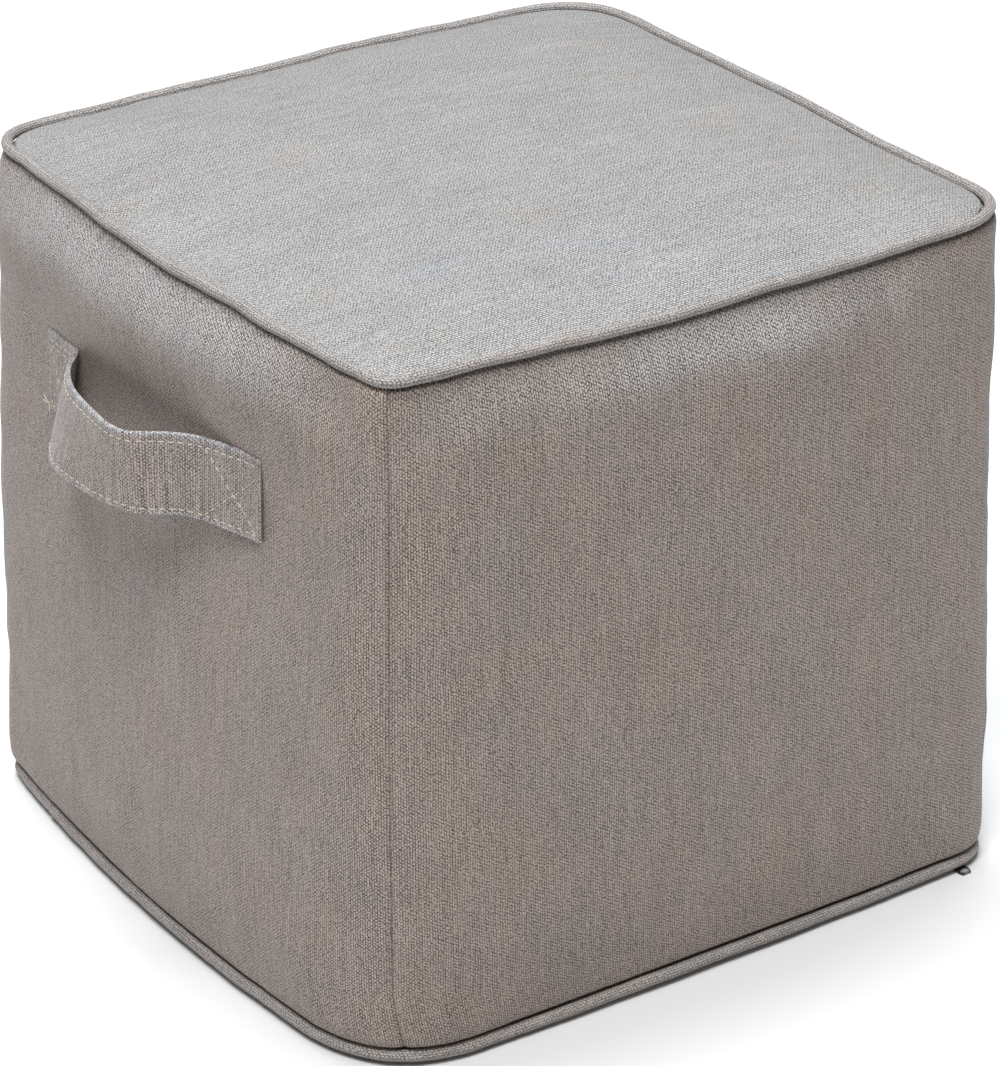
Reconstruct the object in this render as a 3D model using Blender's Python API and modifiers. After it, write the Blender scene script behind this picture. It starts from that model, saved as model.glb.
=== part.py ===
"""Cube pouf stool: a filled cloth cube with a crowned top, piped seams, a carrying strap and a zip puller.

Metres, +Z up. The origin is the middle of the base, on the floor. The front face looks along -Y,
and the face with the carrying strap looks along -X.
"""

import math
from collections import namedtuple

import bmesh
import bpy
from mathutils import Vector

# Driving sizes, in metres
SEAM_RISE = 0.396          # from the middle of the base piping to the middle of the top piping
BASE_SEAM_Z = 0.0068       # middle of the base piping above the floor
TOP_SEAM_Z = BASE_SEAM_Z + SEAM_RISE
CROWN = 0.017              # how far the middle of the top panel stands above its seam
TOP_PIPING_RADIUS = 0.0031
BASE_PIPING_RADIUS = 0.0036
SHEET = 0.002              # thickness of the top and base panels
GAP = 0.0004               # clearance between sewn pieces

STRAP_WIDTH = 0.047
STRAP_THICK = 0.0026
STRAP_START_Y = 0.1105     # far end of the strap
STRAP_MID_Z_FAR = 0.2999   # height of the strap's middle line at its far end
STRAP_MID_Z_NEAR = 0.3091  # and at its near end

PULL_LENGTH = 0.0120
PULL_WIDTH = 0.0095
PULL_THICK = 0.0018
PULL_X = 0.1845
PULL_TIP_Y = -0.2088

# Fineness of the meshes
SIDE_STEPS = 10            # points along each side of a ring
CORNER_STEPS = 5           # points round each corner of a ring
PIPING_FINENESS = 2        # gives an eight-sided cord
STRAP_COLUMNS = 34
STRAP_ROWS = 5

# A seam line seen from above is a rounded square. Each side bows out at its middle, and each
# corner is rounded in its own way. Sides and the corner after each go left, front, right, back.
Seam = namedtuple("Seam", "half_x half_y bows roundings height")
Sides = namedtuple("Sides", "left front right back")
Corners = namedtuple("Corners", "left_front front_right right_back back_left")

TOP_SEAM = Seam(
    half_x=0.2000,
    half_y=0.2005,
    bows=Sides(left=0.0120, front=0.0075, right=0.0010, back=0.0020),
    roundings=Corners(left_front=0.0150, front_right=0.0410, right_back=0.0500, back_left=0.0320),
    height=TOP_SEAM_Z,
)
BASE_SEAM = Seam(
    half_x=0.2070,
    half_y=0.2015,
    bows=Sides(left=0.0165, front=0.0045, right=0.0030, back=0.0040),
    roundings=Corners(left_front=0.0600, front_right=0.0290, right_back=0.0300, back_left=0.0140),
    height=BASE_SEAM_Z,
)

# The side panels between the two seams. height: above the base seam, as a part of the rise.
# out: how far the panel stands outside the line between the seams. puff: extra bow at the middle
# of each side. soften: extra rounding at the vertical corners.
Band = namedtuple("Band", "height out puff soften")
BANDS = (
    Band(height=0.0115, out=-0.0010, puff=0.0000, soften=0.0000),
    Band(height=0.0180, out=0.0026, puff=0.0000, soften=0.0010),
    Band(height=0.0450, out=0.0040, puff=0.0004, soften=0.0020),
    Band(height=0.1200, out=0.0046, puff=0.0007, soften=0.0040),
    Band(height=0.2500, out=0.0052, puff=0.0009, soften=0.0060),
    Band(height=0.4000, out=0.0053, puff=0.0010, soften=0.0070),
    Band(height=0.5500, out=0.0050, puff=0.0011, soften=0.0080),
    Band(height=0.7000, out=0.0047, puff=0.0012, soften=0.0080),
    Band(height=0.8200, out=0.0042, puff=0.0012, soften=0.0070),
    Band(height=0.9000, out=0.0037, puff=0.0010, soften=0.0060),
    Band(height=0.9500, out=0.0032, puff=0.0007, soften=0.0040),
    Band(height=0.9780, out=0.0022, puff=0.0003, soften=0.0020),
    Band(height=0.9895, out=-0.0008, puff=0.0000, soften=0.0000),
)

# The strap's route, from its far end to its near end. station: length along the strap. along: how
# far that is along the face. out: how far it stands off the face. Its lower edge swings out sooner.
StrapStation = namedtuple("StrapStation", "station upper_along upper_out lower_along lower_out")
STRAP_ROUTE = (
    StrapStation(0.0000, 0.0000, 0.0000, 0.0000, 0.0000),
    StrapStation(0.0140, 0.0140, 0.0000, 0.0140, 0.0000),
    StrapStation(0.0270, 0.0270, 0.0000, 0.0268, 0.0014),
    StrapStation(0.0360, 0.0355, 0.0008, 0.0345, 0.0072),
    StrapStation(0.0470, 0.0440, 0.0068, 0.0425, 0.0162),
    StrapStation(0.0610, 0.0545, 0.0152, 0.0515, 0.0252),
    StrapStation(0.0890, 0.0794, 0.0262, 0.0760, 0.0351),
    StrapStation(0.1260, 0.1155, 0.0330, 0.1140, 0.0358),
    StrapStation(0.1460, 0.1351, 0.0352, 0.1343, 0.0326),
    StrapStation(0.1600, 0.1487, 0.0322, 0.1483, 0.0288),
    StrapStation(0.1720, 0.1572, 0.0225, 0.1572, 0.0215),
    StrapStation(0.1860, 0.1668, 0.0133, 0.1660, 0.0118),
    StrapStation(0.2000, 0.1796, 0.0064, 0.1795, 0.0060),
    StrapStation(0.2190, 0.1980, 0.0022, 0.1986, 0.0026),
    StrapStation(0.2310, 0.2100, 0.0002, 0.2112, 0.0002),
    StrapStation(0.2430, 0.2215, 0.0000, 0.2226, 0.0000),
)

EDGE_HUG = 6               # how soon a seam's sway dies away across a panel

# Rings of the top and base panels, as parts of the way from the middle to the rim
CROWN_RINGS = (0.14, 0.32, 0.50, 0.66, 0.79, 0.88, 0.94, 0.975, 1.0)
BASE_RINGS = (0.30, 0.86, 0.93, 0.97, 1.0)
BASE_FLAT = 0.88           # the base lies flat inside this part of its width
BASE_RIM_RISE = 0.0045     # height of the base panel's rim above the floor


def mix(a, b, t):
    return a + (b - a) * t


def smooth_between(rows, key, at):
    """Read the table's columns at one place, on a smooth curve through its rows."""
    last = len(rows) - 1
    at = min(max(at, getattr(rows[0], key)), getattr(rows[last], key))
    i = next(n for n in range(last) if at <= getattr(rows[n + 1], key))
    before, start, end, after = (rows[max(i - 1, 0)], rows[i], rows[i + 1], rows[min(i + 2, last)])
    span = getattr(end, key) - getattr(start, key)
    t = (at - getattr(start, key)) / span
    values = []
    for name in rows[0]._fields:
        p0, p1, p2, p3 = (getattr(row, name) for row in (before, start, end, after))
        k0, k2, k3 = (getattr(row, key) for row in (before, end, after))
        slope1 = (p2 - p0) / (k2 - k0) * span
        slope2 = (p3 - p1) / (k3 - getattr(start, key)) * span
        values.append(
            p1 * (2 * t**3 - 3 * t**2 + 1)
            + slope1 * (t**3 - 2 * t**2 + t)
            + p2 * (3 * t**2 - 2 * t**3)
            + slope2 * (t**3 - t**2)
        )
    return type(rows[0])(*values)


def sway(angle, top):
    """Slight rise and fall of a sewn seam, in metres, round the cube."""
    if top:
        return 0.0006 * math.sin(5 * angle + 0.6) + 0.0005 * math.sin(9 * angle + 2.0)
    return 0.0003 * math.sin(4 * angle + 1.1) + 0.0002 * math.sin(7 * angle)


def seam_outline(half_x, half_y, bows, roundings):
    """Points of a rounded, bowed square, in order left, front, right, back."""
    corner_points = (
        Vector((-half_x, half_y)),
        Vector((-half_x, -half_y)),
        Vector((half_x, -half_y)),
        Vector((half_x, half_y)),
    )
    outward = (Vector((-1, 0)), Vector((0, -1)), Vector((1, 0)), Vector((0, 1)))

    def on_side(side, t):
        start = corner_points[side]
        end = corner_points[(side + 1) % 4]
        return start.lerp(end, t) + outward[side] * (bows[side] * 4 * t * (1 - t))

    points = []
    for side in range(4):
        length = (corner_points[(side + 1) % 4] - corner_points[side]).length
        start_t = roundings[side - 1] / length
        end_t = 1 - roundings[side] / length
        for step in range(SIDE_STEPS):
            points.append(on_side(side, mix(start_t, end_t, step / SIDE_STEPS)))
        next_side = (side + 1) % 4
        bend_start = on_side(side, end_t)
        bend_end = on_side(next_side, roundings[side] / length)
        corner = corner_points[next_side]
        for step in range(CORNER_STEPS):
            t = step / CORNER_STEPS
            points.append(bend_start * (1 - t) ** 2 + corner * (2 * t * (1 - t)) + bend_end * t**2)
    return points


def outline_at(part, out=0.0, puff=0.0, soften=0.0):
    """The cube's outline at a part of the rise between its two seams."""
    half_x = mix(BASE_SEAM.half_x, TOP_SEAM.half_x, part) + out
    half_y = mix(BASE_SEAM.half_y, TOP_SEAM.half_y, part) + out
    bows = [mix(b, t, part) + puff for b, t in zip(BASE_SEAM.bows, TOP_SEAM.bows)]
    roundings = [mix(b, t, part) + soften for b, t in zip(BASE_SEAM.roundings, TOP_SEAM.roundings)]
    return seam_outline(half_x, half_y, bows, roundings)


def ring(outline, height, scale=1.0, sway_weight=0.0, top=True):
    """An outline, drawn in towards the middle by scale, as points at a height."""
    points = []
    for point in outline:
        lift = sway_weight * sway(math.atan2(point.y, point.x), top)
        points.append(Vector((point.x * scale, point.y * scale, height + lift)))
    return points


def left_face_x(y, z):
    """Where the left side panel's surface is."""
    part = (z - BASE_SEAM_Z) / SEAM_RISE
    band = smooth_between(BANDS, "height", part)
    half_x = mix(BASE_SEAM.half_x, TOP_SEAM.half_x, part) + band.out
    half_y = mix(BASE_SEAM.half_y, TOP_SEAM.half_y, part) + band.out
    bow = mix(BASE_SEAM.bows.left, TOP_SEAM.bows.left, part) + band.puff
    return -(half_x + bow * (1 - (y / half_y) ** 2))


def crown_rise(scale):
    """Rise of the top panel above its rim: steep beside the seam, nearly flat in the middle."""
    return CROWN * (1 - scale**2.4) ** 0.75


def base_rise(scale):
    """Rise of the base panel above the floor: none where it lies, then up to its seam."""
    if scale <= BASE_FLAT:
        return 0.0
    return BASE_RIM_RISE * ((scale - BASE_FLAT) / (1 - BASE_FLAT)) ** 1.5


# Objects

collection = None


def fabric(name, colour, roughness):
    """A plain material in the piece's own colour."""
    material = bpy.data.materials.new(name)
    material.use_nodes = True
    shader = material.node_tree.nodes["Principled BSDF"]
    shader.inputs["Base Color"].default_value = (*colour, 1.0)
    shader.inputs["Roughness"].default_value = roughness
    shader.inputs["Metallic"].default_value = 0.0
    return material


def add_object(name, bm, material):
    """Put a finished mesh in the pouf's collection."""
    mesh = bpy.data.meshes.new(name)
    bm.to_mesh(mesh)
    bm.free()
    mesh.shade_smooth()
    mesh.set_sharp_from_angle(angle=math.radians(50))
    mesh.materials.append(material)
    obj = bpy.data.objects.new(name, mesh)
    collection.objects.link(obj)
    return obj


def loft(rings):
    """A closed skin over rings with like numbers of points, first ring to last, with flat ends."""
    bm = bmesh.new()
    loops = [[bm.verts.new(point) for point in points] for points in rings]
    count = len(rings[0])
    for lower, upper in zip(loops, loops[1:]):
        for i in range(count):
            j = (i + 1) % count
            bm.faces.new((lower[i], lower[j], upper[j], upper[i]))
    bm.faces.new(loops[0])
    bm.faces.new(loops[-1])
    bmesh.ops.recalc_face_normals(bm, faces=bm.faces)
    return bm


def make_filled_body():
    """The side panels and what they hold, as one solid, with its crown and its flat underside."""
    base_inset = -(BASE_PIPING_RADIUS + GAP)
    top_inset = -(TOP_PIPING_RADIUS + GAP)
    base_rim = outline_at(0.0, out=base_inset)
    top_rim = outline_at(1.0, out=top_inset)
    lift = SHEET + GAP

    rings = [ring(base_rim, base_rise(s) + lift, s, s**EDGE_HUG, top=False) for s in BASE_RINGS]
    tuck = (BASE_PIPING_RADIUS + 2 * GAP) * math.sin(math.radians(45))
    rings.append(ring(outline_at(0.0, out=-tuck), BASE_SEAM_Z + tuck, 1.0, 1.0, top=False))
    heights = [BANDS[0].height]
    for lower, upper in zip(BANDS, BANDS[1:]):
        steps = 2 if upper.height - lower.height > 0.1 else 1
        heights += [mix(lower.height, upper.height, (n + 1) / steps) for n in range(steps)]
    for part in heights:
        band = smooth_between(BANDS, "height", part)
        outline = outline_at(part, band.out, band.puff, band.soften)
        weight = max(0.0, 1 - 8 * min(part, 1 - part))
        rings.append(ring(outline, BASE_SEAM_Z + part * SEAM_RISE, 1.0, weight, top=part > 0.5))
    for s in reversed(CROWN_RINGS):
        rings.append(ring(top_rim, TOP_SEAM_Z - GAP - SHEET + crown_rise(s), s, s**EDGE_HUG))
    return add_object("filled_body", loft(rings), fabric("side cloth", (0.262, 0.228, 0.205), 0.9))


def make_top_panel():
    """The crowned top panel, a sheet that lies on the filled body."""
    rim = outline_at(1.0, out=-(TOP_PIPING_RADIUS + GAP))
    under = [ring(rim, TOP_SEAM_Z - SHEET + crown_rise(s), s, s**EDGE_HUG) for s in CROWN_RINGS]
    over = [ring(rim, TOP_SEAM_Z + crown_rise(s), s, s**EDGE_HUG) for s in reversed(CROWN_RINGS)]
    return add_object("top_panel", loft(under + over), fabric("top cloth", (0.456, 0.440, 0.430), 0.9))


def make_base_panel():
    """The base panel, a sheet that lies flat on the floor and rises to its seam."""
    rim = outline_at(0.0, out=-(BASE_PIPING_RADIUS + GAP))
    under = [ring(rim, base_rise(s), s, s**EDGE_HUG, top=False) for s in BASE_RINGS]
    over = [ring(rim, base_rise(s) + SHEET, s, s**EDGE_HUG, top=False) for s in reversed(BASE_RINGS)]
    return add_object("base_panel", loft(under + over), fabric("base cloth", (0.262, 0.228, 0.205), 0.9))


def make_piping(name, part, radius, height, top):
    """A cloth-covered cord that follows a seam right round the cube."""
    line = ring(outline_at(part), height, 1.0, 1.0, top)
    curve = bpy.data.curves.new(name, "CURVE")
    curve.dimensions = "3D"
    curve.bevel_depth = radius
    curve.bevel_resolution = PIPING_FINENESS
    spline = curve.splines.new("POLY")
    spline.points.add(len(line) - 1)
    for point, place in zip(spline.points, line):
        point.co = (*place, 1.0)
    spline.use_cyclic_u = True
    curve.materials.append(fabric(name.replace("_", " ") + " cloth", (0.305, 0.276, 0.254), 0.85))
    obj = bpy.data.objects.new(name, curve)
    collection.objects.link(obj)
    return obj


def make_handle_strap():
    """The carrying strap: a folded band, sewn flat at both ends and standing off between them."""
    bm = bmesh.new()
    grid = []
    length = STRAP_ROUTE[-1].station
    for column in range(STRAP_COLUMNS + 1):
        place = smooth_between(STRAP_ROUTE, "station", length * column / STRAP_COLUMNS)
        middle_z = mix(STRAP_MID_Z_FAR, STRAP_MID_Z_NEAR, place.station / length)
        verts = []
        for row in range(STRAP_ROWS):
            t = row / (STRAP_ROWS - 1)
            y = STRAP_START_Y - mix(place.lower_along, place.upper_along, t)
            z = middle_z + (t - 0.5) * STRAP_WIDTH
            out = mix(place.lower_out, place.upper_out, t) + GAP + STRAP_THICK / 2
            verts.append(bm.verts.new((left_face_x(y, z) - out, y, z)))
        grid.append(verts)
    for left, right in zip(grid, grid[1:]):
        for row in range(STRAP_ROWS - 1):
            bm.faces.new((left[row], right[row], right[row + 1], left[row + 1]))
    obj = add_object("handle_strap", bm, fabric("strap cloth", (0.290, 0.252, 0.228), 0.85))
    solidify = obj.modifiers.new("two layers", "SOLIDIFY")
    solidify.thickness = STRAP_THICK
    solidify.offset = 0.0
    solidify.use_even_offset = True
    return obj


def make_zip_pull():
    """The zip's puller: a flat tapered tab with a round end, lying on the floor."""
    bpy.ops.mesh.primitive_cube_add(size=1.0)
    obj = bpy.context.object
    obj.name = "zip_pull"
    bm = bmesh.new()
    bm.from_mesh(obj.data)
    bmesh.ops.scale(bm, vec=(PULL_WIDTH, PULL_LENGTH, PULL_THICK), verts=bm.verts)
    for vert in bm.verts:
        if vert.co.y > 0:
            vert.co.x *= 0.7
    upright = [e for e in bm.edges if abs(e.verts[0].co.z - e.verts[1].co.z) > PULL_THICK / 2]
    tip = [e for e in upright if e.verts[0].co.y < 0]
    bmesh.ops.bevel(bm, geom=tip, offset=PULL_WIDTH * 0.4, segments=5, profile=0.5, affect="EDGES")
    bm.to_mesh(obj.data)
    bm.free()
    obj.data.materials.append(fabric("black puller", (0.012, 0.012, 0.013), 0.45))
    obj.location = (PULL_X, PULL_TIP_Y + PULL_LENGTH / 2, PULL_THICK / 2)
    for old in list(obj.users_collection):
        old.objects.unlink(obj)
    collection.objects.link(obj)
    return obj


def main():
    global collection
    for old in list(bpy.data.objects):
        bpy.data.objects.remove(old, do_unlink=True)
    collection = bpy.data.collections.new("Cube pouf stool")
    bpy.context.scene.collection.children.link(collection)
    make_filled_body()
    make_top_panel()
    make_base_panel()
    make_piping("top_piping", 1.0, TOP_PIPING_RADIUS, TOP_SEAM_Z, top=True)
    make_piping("base_piping", 0.0, BASE_PIPING_RADIUS, BASE_SEAM_Z, top=False)
    make_handle_strap()
    make_zip_pull()


main()
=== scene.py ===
import math
from collections import namedtuple

import bpy
import numpy as np
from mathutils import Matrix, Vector, noise


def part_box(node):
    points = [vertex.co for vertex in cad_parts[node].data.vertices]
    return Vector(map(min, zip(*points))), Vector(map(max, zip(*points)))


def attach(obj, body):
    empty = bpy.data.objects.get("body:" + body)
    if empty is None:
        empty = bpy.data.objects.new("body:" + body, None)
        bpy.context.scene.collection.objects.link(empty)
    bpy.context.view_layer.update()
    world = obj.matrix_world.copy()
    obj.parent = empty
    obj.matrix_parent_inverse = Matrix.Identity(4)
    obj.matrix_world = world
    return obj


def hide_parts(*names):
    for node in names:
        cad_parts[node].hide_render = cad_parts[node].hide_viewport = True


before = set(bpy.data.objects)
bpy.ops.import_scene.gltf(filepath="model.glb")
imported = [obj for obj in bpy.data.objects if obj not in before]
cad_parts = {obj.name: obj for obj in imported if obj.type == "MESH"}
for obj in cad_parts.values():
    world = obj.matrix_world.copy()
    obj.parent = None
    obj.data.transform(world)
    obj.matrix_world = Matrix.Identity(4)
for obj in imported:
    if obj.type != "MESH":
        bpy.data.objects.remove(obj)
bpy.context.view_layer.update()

# Sizes in metres. The origin is the middle of the base, on the floor. The front face looks along -Y
# and the face with the carrying strap looks along -X.
MM = 0.001
TOP_PIPING_RADIUS = 3.1 * MM
BASE_PIPING_RADIUS = 3.6 * MM
CLEARANCE = 0.4 * MM
PANEL_THICK = 1.4 * MM
CROWN = 17.0 * MM
BASE_RIM_RISE = 4.5 * MM
BASE_FLAT = 0.88

Sides = namedtuple("Sides", "left front right back")
Corners = namedtuple("Corners", "left_front front_right right_back back_left")
Seam = namedtuple("Seam", "half_x half_y bows roundings height")
Band = namedtuple("Band", "height out puff soften")
StrapStation = namedtuple("StrapStation", "station upper_along upper_out lower_along lower_out")

TOP_BOWS = Sides(left=0.0120, front=0.0075, right=0.0010, back=0.0020)
TOP_ROUNDINGS = Corners(left_front=0.0150, front_right=0.0410, right_back=0.0500, back_left=0.0320)
BASE_BOWS = Sides(left=0.0165, front=0.0045, right=0.0030, back=0.0040)
BASE_ROUNDINGS = Corners(left_front=0.0600, front_right=0.0290, right_back=0.0300, back_left=0.0140)

# The side panels between their seams, the same as the CAD part's but for the rows next to the top
# seam: height as a part of the rise, how far the panel stands out, extra bow at mid side, and extra
# rounding at the upright corners.
BANDS = (
    Band(0.0115, -0.0010, 0.0000, 0.0000),
    Band(0.0180, 0.0026, 0.0000, 0.0010),
    Band(0.0450, 0.0040, 0.0004, 0.0020),
    Band(0.1200, 0.0046, 0.0007, 0.0040),
    Band(0.2500, 0.0052, 0.0009, 0.0060),
    Band(0.4000, 0.0053, 0.0010, 0.0070),
    Band(0.5500, 0.0050, 0.0011, 0.0080),
    Band(0.7000, 0.0047, 0.0012, 0.0080),
    Band(0.8200, 0.0042, 0.0012, 0.0070),
    Band(0.9000, 0.0037, 0.0010, 0.0060),
    Band(0.9500, 0.0032, 0.0007, 0.0040),
    Band(0.9700, 0.0028, 0.0004, 0.0025),
    Band(0.9830, 0.0018, 0.0002, 0.0010),
    Band(0.9880, 0.0003, 0.0000, 0.0000),
)

STRAP_WIDTH = 47.0 * MM
STRAP_THICK = 2.6 * MM
STRAP_START_Y = 0.1105
STRAP_MID_Z_FAR = 0.2999
STRAP_MID_Z_NEAR = 0.3091
STRAP_ROUTE = (
    StrapStation(0.0000, 0.0000, 0.0000, 0.0000, 0.0000),
    StrapStation(0.0140, 0.0140, 0.0000, 0.0140, 0.0000),
    StrapStation(0.0270, 0.0270, 0.0000, 0.0268, 0.0014),
    StrapStation(0.0360, 0.0355, 0.0008, 0.0345, 0.0072),
    StrapStation(0.0470, 0.0440, 0.0068, 0.0425, 0.0162),
    StrapStation(0.0610, 0.0545, 0.0152, 0.0515, 0.0252),
    StrapStation(0.0890, 0.0794, 0.0262, 0.0760, 0.0351),
    StrapStation(0.1260, 0.1155, 0.0330, 0.1140, 0.0358),
    StrapStation(0.1460, 0.1351, 0.0352, 0.1343, 0.0326),
    StrapStation(0.1600, 0.1487, 0.0322, 0.1483, 0.0288),
    StrapStation(0.1720, 0.1572, 0.0225, 0.1572, 0.0215),
    StrapStation(0.1860, 0.1668, 0.0133, 0.1660, 0.0118),
    StrapStation(0.2000, 0.1796, 0.0064, 0.1795, 0.0060),
    StrapStation(0.2190, 0.1980, 0.0022, 0.1986, 0.0026),
    StrapStation(0.2310, 0.2100, 0.0002, 0.2112, 0.0002),
    StrapStation(0.2430, 0.2215, 0.0000, 0.2226, 0.0000),
)
STRAP_LENGTH = STRAP_ROUTE[-1].station

# Where the front upright seam runs on its rounded corner: 0.5 is the middle, more is further round
# to the front face.
FRONT_SEAM_ROUTE = ((0.0, 0.605), (0.03, 0.595), (0.06, 0.567), (0.10, 0.543), (0.5, 0.53), (1.0, 0.55))

# The filling swells each side panel below the top piping: how much, along each side from its first
# upright seam to its last, and how that swelling goes with the depth below the piping.
SHOULDER_SWELL = 9.4 * MM
SHOULDERS = Sides(
    left=(
        (0.0, 0.0), (0.05, 0.3), (0.13, 0.85), (0.22, 1.0),
        (0.62, 1.0), (0.74, 0.85), (0.86, 0.42), (0.94, 0.1), (1.0, 0.0),
    ),
    front=(
        (0.0, 0.0), (0.10, 0.38), (0.25, 0.50), (0.42, 0.85),
        (0.60, 1.0), (0.77, 0.42), (0.90, 0.02), (1.0, 0.0),
    ),
    right=((0.0, 0.0), (0.12, 0.15), (0.30, 0.75), (0.55, 1.0), (0.80, 0.60), (1.0, 0.0)),
    back=((0.0, 0.0), (0.15, 0.35), (0.40, 0.95), (0.65, 0.90), (0.88, 0.30), (1.0, 0.0)),
)
STRAP_SIDE_RISE = (
    (0.0, 0.0), (0.004, 0.04), (0.007, 0.17), (0.010, 0.32),
    (0.0155, 0.57), (0.022, 0.83), (0.0275, 0.95), (0.033, 1.0),
)
PLAIN_SIDE_RISE = (
    (0.0, 0.0), (0.004, 0.0), (0.008, 0.04), (0.012, 0.16),
    (0.018, 0.45), (0.025, 0.82), (0.030, 0.96), (0.036, 1.0),
)
STRAP_SIDE_FALL = ((0.044, 0.90), (0.057, 0.60), (0.075, 0.22), (0.095, 0.0), (0.396, 0.0))
PLAIN_SIDE_FALL = ((0.060, 0.98), (0.120, 0.82), (0.250, 0.40), (0.370, 0.0), (0.396, 0.0))

SEAM_STEPS = np.array((0.0, 0.7, 1.4, 2.2, 3.2, 4.6, 6.6, 9.5, 13.5)) * MM
COLUMN_STEP = 4.5 * MM
ROW_STEP = 3.2 * MM


def mix(a, b, t):
    return a + (b - a) * t


def smooth_between(rows, key, at):
    """Read a table's columns at one place, on a smooth curve through its rows."""
    last = len(rows) - 1
    at = min(max(at, getattr(rows[0], key)), getattr(rows[last], key))
    i = next(n for n in range(last) if at <= getattr(rows[n + 1], key))
    before, start, end, after = (rows[max(i - 1, 0)], rows[i], rows[i + 1], rows[min(i + 2, last)])
    span = getattr(end, key) - getattr(start, key)
    t = (at - getattr(start, key)) / span
    values = []
    for name in rows[0]._fields:
        p0, p1, p2, p3 = (getattr(row, name) for row in (before, start, end, after))
        k0, k2, k3 = (getattr(row, key) for row in (before, end, after))
        slope1 = (p2 - p0) / (k2 - k0) * span
        slope2 = (p3 - p1) / (k3 - getattr(start, key)) * span
        values.append(
            p1 * (2 * t**3 - 3 * t**2 + 1)
            + slope1 * (t**3 - 2 * t**2 + t)
            + p2 * (3 * t**2 - 2 * t**3)
            + slope2 * (t**3 - t**2)
        )
    return type(rows[0])(*values)


def seam_from_frame(node, radius, bows, roundings):
    """A seam's half sizes and height, from the box of the piping sewn into it."""
    low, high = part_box(node)
    half_x = (high.x - low.x - 2 * radius - bows.left - bows.right) / 2
    half_y = (high.y - low.y - 2 * radius - bows.front - bows.back) / 2
    return Seam(half_x, half_y, bows, roundings, (low.z + high.z) / 2)


TOP_SEAM = seam_from_frame("top_piping", TOP_PIPING_RADIUS, TOP_BOWS, TOP_ROUNDINGS)
BASE_SEAM = seam_from_frame("base_piping", BASE_PIPING_RADIUS, BASE_BOWS, BASE_ROUNDINGS)
SEAM_RISE = TOP_SEAM.height - BASE_SEAM.height


def soft_noise(points, size, seed):
    """Smooth noise from about -1 to 1, whose lumps are about size across."""
    shift = Vector((seed * 13.7, seed * 7.1, seed * 3.3))
    flat = points.reshape(-1, points.shape[-1])
    values = [noise.noise(Vector(p) / size + shift) for p in flat]
    return np.array(values).reshape(points.shape[:-1])


LEFT_SEAM_LIFT = 2.3 * MM   # how far the filling lifts the top seam over the strap's side


def sway(x, y, top):
    """Slight rise and fall of a sewn seam round the cube."""
    angle = np.arctan2(y, x)
    places = np.column_stack((x, y, np.zeros(len(x))))
    if not top:
        regular = 0.3 * MM * np.sin(4 * angle + 1.1) + 0.2 * MM * np.sin(7 * angle)
        return regular + 0.35 * MM * soft_noise(places, 40 * MM, 22)
    on_left = np.clip((-x - 0.175) / 0.02, 0, 1) * np.clip((0.205 - np.abs(y)) / 0.05, 0, 1)
    regular = 0.6 * MM * np.sin(5 * angle + 0.6) + 0.5 * MM * np.sin(9 * angle + 2.0)
    uneven = soft_noise(places, 26 * MM, 21) * (0.5 * MM + 1.4 * MM * on_left)
    return regular + uneven + LEFT_SEAM_LIFT * on_left


# Outline of the cube, one panel at a time, from upright seam to upright seam

OUTWARD = np.array(((-1.0, 0.0), (0.0, -1.0), (1.0, 0.0), (0.0, 1.0)))


def box_corners(half_x, half_y):
    return np.array(((-half_x, half_y), (-half_x, -half_y), (half_x, -half_y), (half_x, half_y)))


def side_points(side, t, half_x, half_y, bows):
    corners = box_corners(half_x, half_y)
    t = np.asarray(t, float)[..., None]
    straight = corners[side] * (1 - t) + corners[(side + 1) % 4] * t
    return straight + OUTWARD[side] * (bows[side] * 4 * t * (1 - t))


def corner_points(side, t, half_x, half_y, bows, roundings):
    """The rounded corner after a side: t runs from 0 on that side to 1 on the next one."""
    corners = box_corners(half_x, half_y)
    after = (side + 1) % 4
    length = np.linalg.norm(corners[after] - corners[side])
    next_length = np.linalg.norm(corners[(after + 1) % 4] - corners[after])
    start = side_points(side, 1 - roundings[side] / length, half_x, half_y, bows)
    end = side_points(after, roundings[side] / next_length, half_x, half_y, bows)
    t = np.asarray(t, float)[..., None]
    return start * (1 - t) ** 2 + corners[after] * 2 * t * (1 - t) + end * t**2


def panel_line(side, half_x, half_y, bows, roundings, seam_places):
    """A dense line along one side panel, from the seam before it to the seam after it."""
    before = side - 1
    length = 2 * (half_y if side % 2 == 0 else half_x)
    first = corner_points(before, np.linspace(seam_places[before], 1, 30), half_x, half_y, bows, roundings)
    middle = side_points(
        side, np.linspace(roundings[before] / length, 1 - roundings[side] / length, 90), half_x, half_y, bows
    )
    last = corner_points(side, np.linspace(0, seam_places[side], 30), half_x, half_y, bows, roundings)
    return np.vstack((first[:-1], middle, last[1:]))


def place_along(line, fractions):
    """Points at parts of a line's length."""
    steps = np.linalg.norm(np.diff(line, axis=0), axis=1)
    travelled = np.concatenate(((0.0,), np.cumsum(steps)))
    wanted = np.asarray(fractions) * travelled[-1]
    return np.column_stack([np.interp(wanted, travelled, line[:, k]) for k in range(line.shape[1])])


def seam_places(part):
    front = float(np.interp(part, *zip(*FRONT_SEAM_ROUTE)))
    return Corners(left_front=front, front_right=0.50, right_back=0.52, back_left=0.47)


PANEL_LENGTH = 0.415
MAP_STEP = 0.6              # from one side panel to the next on the cloth map
FLAT_MAP_START = 4.0        # where the top and base panels start on it


def column_fractions():
    near = SEAM_STEPS / PANEL_LENGTH
    count = int(round((1 - 2 * near[-1]) * PANEL_LENGTH / COLUMN_STEP))
    middle = np.linspace(near[-1], 1 - near[-1], count + 1)
    return np.concatenate((near[:-1], middle, (1 - near[:-1])[::-1]))


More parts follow.
